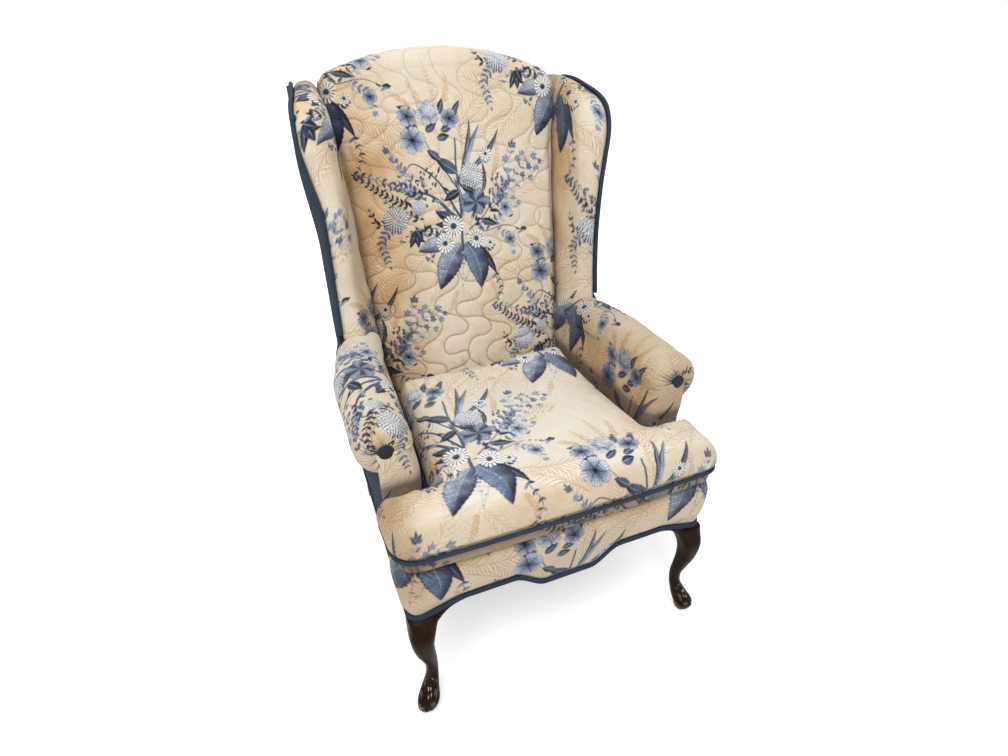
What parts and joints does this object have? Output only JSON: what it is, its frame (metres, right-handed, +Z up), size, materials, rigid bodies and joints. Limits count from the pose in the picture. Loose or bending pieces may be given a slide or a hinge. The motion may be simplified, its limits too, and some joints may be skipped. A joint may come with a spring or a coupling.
{
  "type": "wingback armchair",
  "caption": "Wing chair with a quilted arched back, rolled arms, a loose T-shaped welted cushion and cabriole front legs.",
  "frame": {"origin": "on the floor, at the bottom centre of the chair's box", "axes": "+X to the right as seen from the front, +Y from the front to the back, +Z up"},
  "size_m": [0.6966, 0.754, 1.135],
  "materials": {
    "floral": "printed brushed cotton, floral on cream",
    "navy": "plain woven denim-like cotton",
    "welt": "plain woven cotton over cord",
    "walnut": "dark satin lacquer",
    "beech": "sanded, unfinished",
    "jute": "coarse woven, natural",
    "cambric": "thin black non-woven",
    "steel": "drawn wire",
    "nylon": "moulded, matt"
  },
  "bodies": {
    "chair": {"arm_button_left": "welt", "arm_button_right": "welt", "arm_pad_left": "floral", "arm_pad_right": "floral", "arm_post_left": "beech", "arm_post_right": "beech", "arm_rail_left": "beech", "arm_rail_right": "beech", "back_post_left": "walnut", "back_post_right": "walnut", "back_webbing": "jute", "corner_block_front_left": "beech", "corner_block_front_right": "beech", "corner_block_rear_left": "beech", "corner_block_rear_right": "beech", "crest_rail": "beech", "dust_cover": "cambric", "front_band": "welt", "front_border": "floral", "front_leg_left": "walnut", "front_leg_right": "walnut", "front_seat_rail": "beech", "glide_front_left": "nylon", "glide_front_right": "nylon", "glide_rear_left": "nylon", "glide_rear_right": "nylon", "inside_back": "floral", "inside_wing_left": "floral", "inside_wing_right": "floral", "knee_return_front_left": "walnut", "knee_return_front_right": "walnut", "knee_return_side_left": "walnut", "knee_return_side_right": "walnut", "lower_back_rail": "beech", "outside_arm_left": "navy", "outside_arm_right": "navy", "outside_back": "navy", "outside_wing_left": "navy", "outside_wing_right": "navy", "rear_band": "welt", "rear_seat_rail": "beech", "seat_deck": "jute", "seat_springs": "steel", "side_band_left": "welt", "side_band_right": "welt", "side_rail_left": "beech", "side_rail_right": "beech", "wing_post_left": "beech", "wing_post_right": "beech", "wing_top_rail_left": "beech", "wing_top_rail_right": "beech", "wing_welt_left": "welt", "wing_welt_right": "welt"},
    "seat_cushion": {"seat_cushion": "floral", "cushion_welt": "welt", "cushion_zip": "welt"},
    "zip_slider": {"zip_slider": "steel"}
  },
  "joints": [
    {"name": "cushion_lift", "type": "slide", "parent": "chair", "child": "seat_cushion", "axis": [0, -0.5, 0.866], "range_m": [0, 0.6]},
    {"name": "zip_pull", "type": "slide", "parent": "seat_cushion", "child": "zip_slider", "axis": [1, 0, 0], "range_m": [0, 0.322]}
  ]
}
